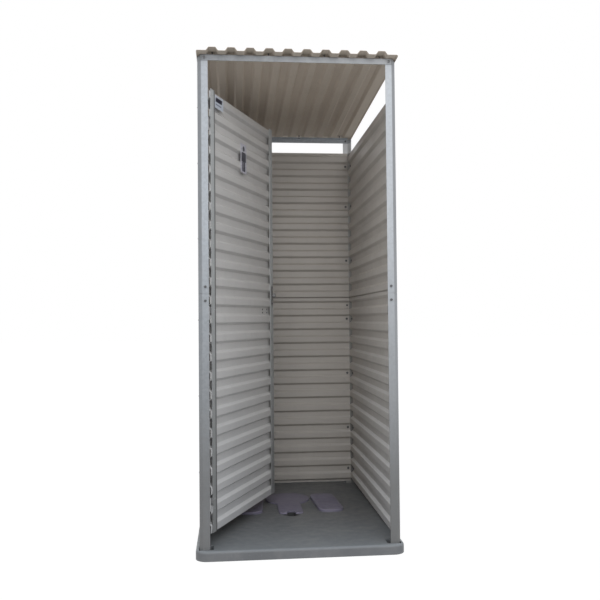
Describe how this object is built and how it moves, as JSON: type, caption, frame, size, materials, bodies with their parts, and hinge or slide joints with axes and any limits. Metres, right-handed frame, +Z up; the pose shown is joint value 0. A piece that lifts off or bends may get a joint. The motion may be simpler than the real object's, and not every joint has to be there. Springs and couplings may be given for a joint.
{
  "type": "portable toilet cabin",
  "caption": "Free-standing latrine cabin: folded-steel frame, ribbed sheet walls and roof, an inward-opening door, and a squat slab with footrests and a lift-off drop-hole lid.",
  "frame": {"origin": "centre of the slab's footprint, on the ground", "axes": "+X to the right seen from the front, +Y from the front to the back, +Z up; the doorway faces -Y"},
  "size_m": [0.842, 1.2409, 2.0408],
  "materials": {
    "slab_plastic": "satin moulded plastic, dark grey",
    "footrest_plastic": "satin moulded plastic, violet grey",
    "wall_sheet": "off-white coil coating, satin",
    "roof_sheet": "off-white coil coating, satin",
    "door_sheet": "off-white coil coating, satin",
    "stile_steel": "pale grey coating, satin",
    "frame_steel": "galvanised, spangled",
    "fitting_steel": "zinc plated",
    "fastener_steel": "zinc plated, dulled",
    "seal_rubber": "matte",
    "sign_face": "pale satin plate with a dark figure",
    "label_face": "pale satin plate with a plain panel"
  },
  "bodies": {
    "cabin": {"anchor_bolts": "fastener_steel", "anchor_nuts": "fastener_steel", "back_top_rail": "frame_steel", "back_wall_sheet_lower": "wall_sheet", "back_wall_sheet_upper": "wall_sheet", "base_slab": "slab_plastic", "bolt_keeper": "fitting_steel", "foot_cleat_back_left": "frame_steel", "foot_cleat_back_right": "frame_steel", "foot_cleat_front_left": "frame_steel", "foot_cleat_front_right": "frame_steel", "footrest_left": "footrest_plastic", "footrest_right": "footrest_plastic", "footrest_screws": "fastener_steel", "front_top_rail": "frame_steel", "hinge_brackets": "fitting_steel", "hinge_pins": "fitting_steel", "left_wall_sheet_lower": "wall_sheet", "left_wall_sheet_upper": "wall_sheet", "post_back_left_lower": "frame_steel", "post_back_left_upper": "frame_steel", "post_back_right_lower": "frame_steel", "post_back_right_upper": "frame_steel", "post_front_left_lower": "frame_steel", "post_front_left_upper": "frame_steel", "post_front_right_lower": "frame_steel", "post_front_right_upper": "frame_steel", "rail_bolts": "fastener_steel", "rail_nuts": "fastener_steel", "right_wall_sheet_lower": "wall_sheet", "right_wall_sheet_upper": "wall_sheet", "roof_screws": "fastener_steel", "roof_seal_washers": "seal_rubber", "roof_sheet": "roof_sheet", "splice_bolts": "fastener_steel", "splice_nuts": "fastener_steel", "splice_plate_back_left": "frame_steel", "splice_plate_back_right": "frame_steel", "splice_plate_front_left": "frame_steel", "splice_plate_front_right": "frame_steel", "wall_screws": "fastener_steel"},
    "door": {"door_sheet": "door_sheet", "door_hinge_stile": "stile_steel", "door_latch_stile": "stile_steel", "door_rivets": "stile_steel", "hinge_leaves": "fitting_steel", "door_knob": "fitting_steel", "knob_plate": "fitting_steel", "knob_nut": "fastener_steel", "knob_rivets": "fastener_steel", "sign_plate": "sign_face", "blank_label": "label_face", "plate_rivets": "fastener_steel", "slide_bolt_case": "fitting_steel", "bolt_case_rivets": "fastener_steel"},
    "slide_bolt": {"slide_bolt": "fitting_steel"},
    "lid": {"drop_hole_lid": "footrest_plastic"}
  },
  "joints": [
    {"name": "door_hinge", "type": "hinge", "parent": "cabin", "child": "door", "pos_m": [-0.365, -0.57, 1], "axis": [0, 0, 1], "range_deg": [-66.5, 20.5]},
    {"name": "slide_bolt_travel", "type": "slide", "parent": "door", "child": "slide_bolt", "axis": [0.3987, 0.9171, 0], "range_m": [0, 0.022]},
    {"name": "lid_lift", "type": "slide", "parent": "cabin", "child": "lid", "axis": [0, 0, 1], "range_m": [0, 0.045]}
  ]
}
